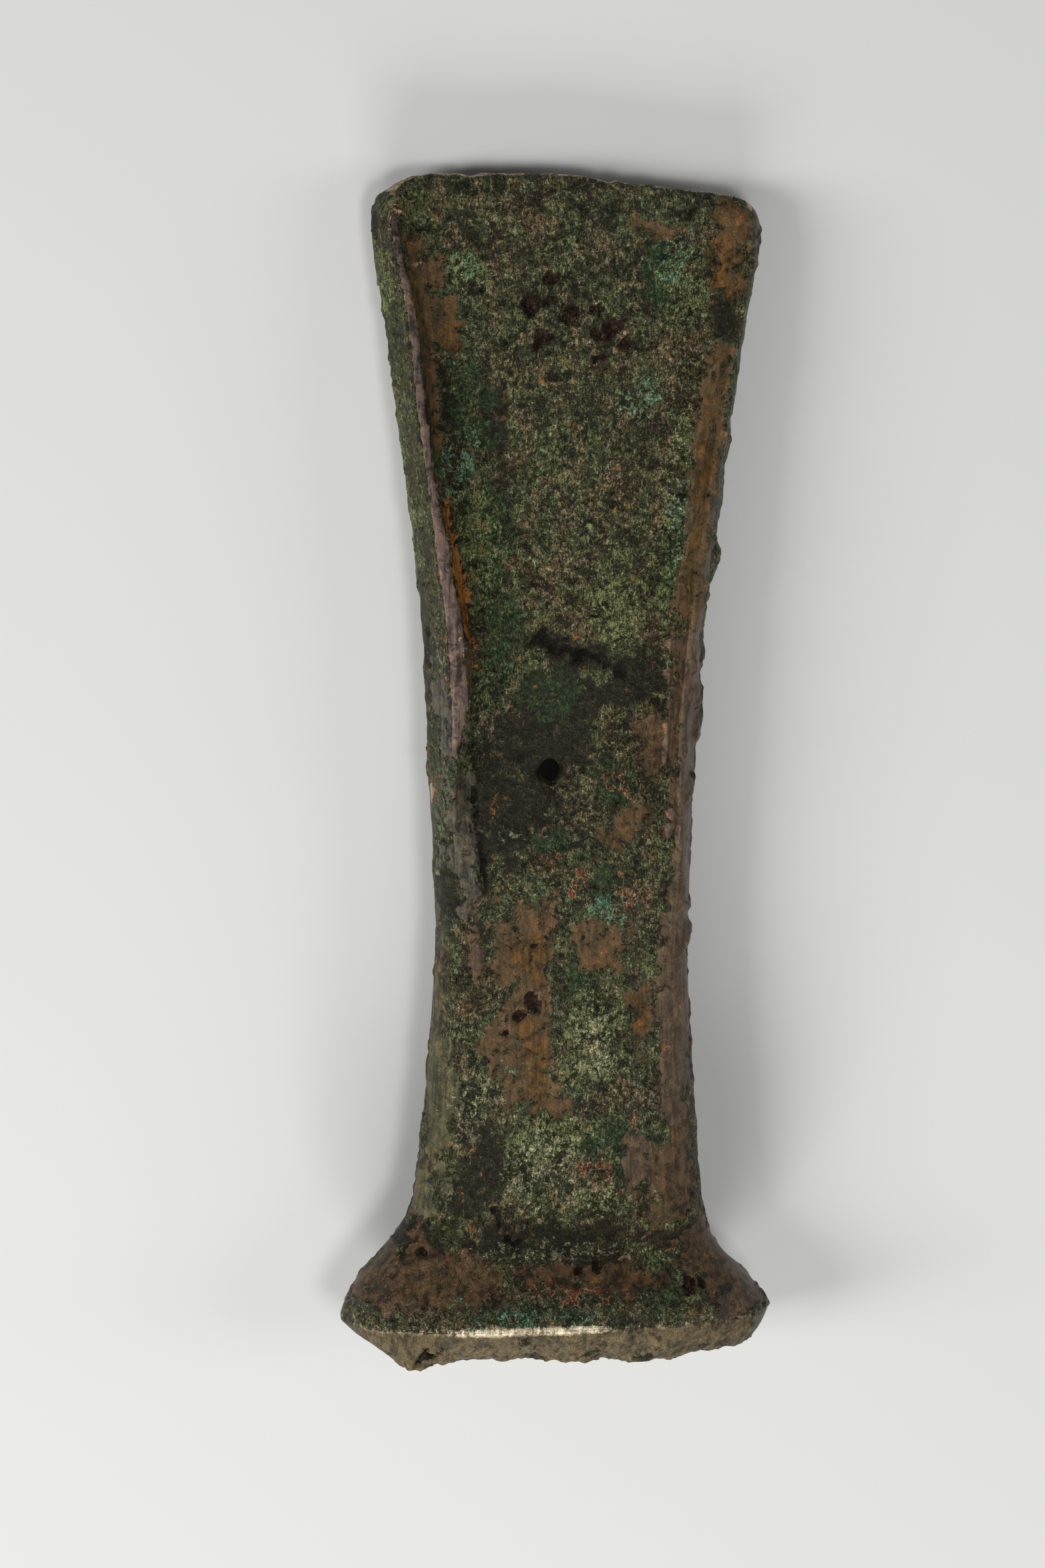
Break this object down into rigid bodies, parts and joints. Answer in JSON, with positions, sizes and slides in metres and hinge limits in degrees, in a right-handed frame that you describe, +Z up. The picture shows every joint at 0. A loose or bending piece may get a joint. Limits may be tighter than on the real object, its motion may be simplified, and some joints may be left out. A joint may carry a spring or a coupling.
{
  "type": "flanged axe head",
  "caption": "Corroded cast bronze flanged axe head with a broad thin butt, a waisted body and a flared, broken foot, lying on its back.",
  "frame": {"origin": "on the ground under the middle of the axe as it lies on its back", "axes": "+X across the axe, +Y along it from the flared foot to the thin butt, +Z up, out of its front face"},
  "size_m": [0.0594, 0.1594, 0.0219],
  "materials": {
    "patinated_bronze": "corroded cast bronze: dark green and brown patina with clean coppery patches, semi-gloss"
  },
  "bodies": {
    "root": {"axe_head": "patinated_bronze"}
  },
  "joints": []
}
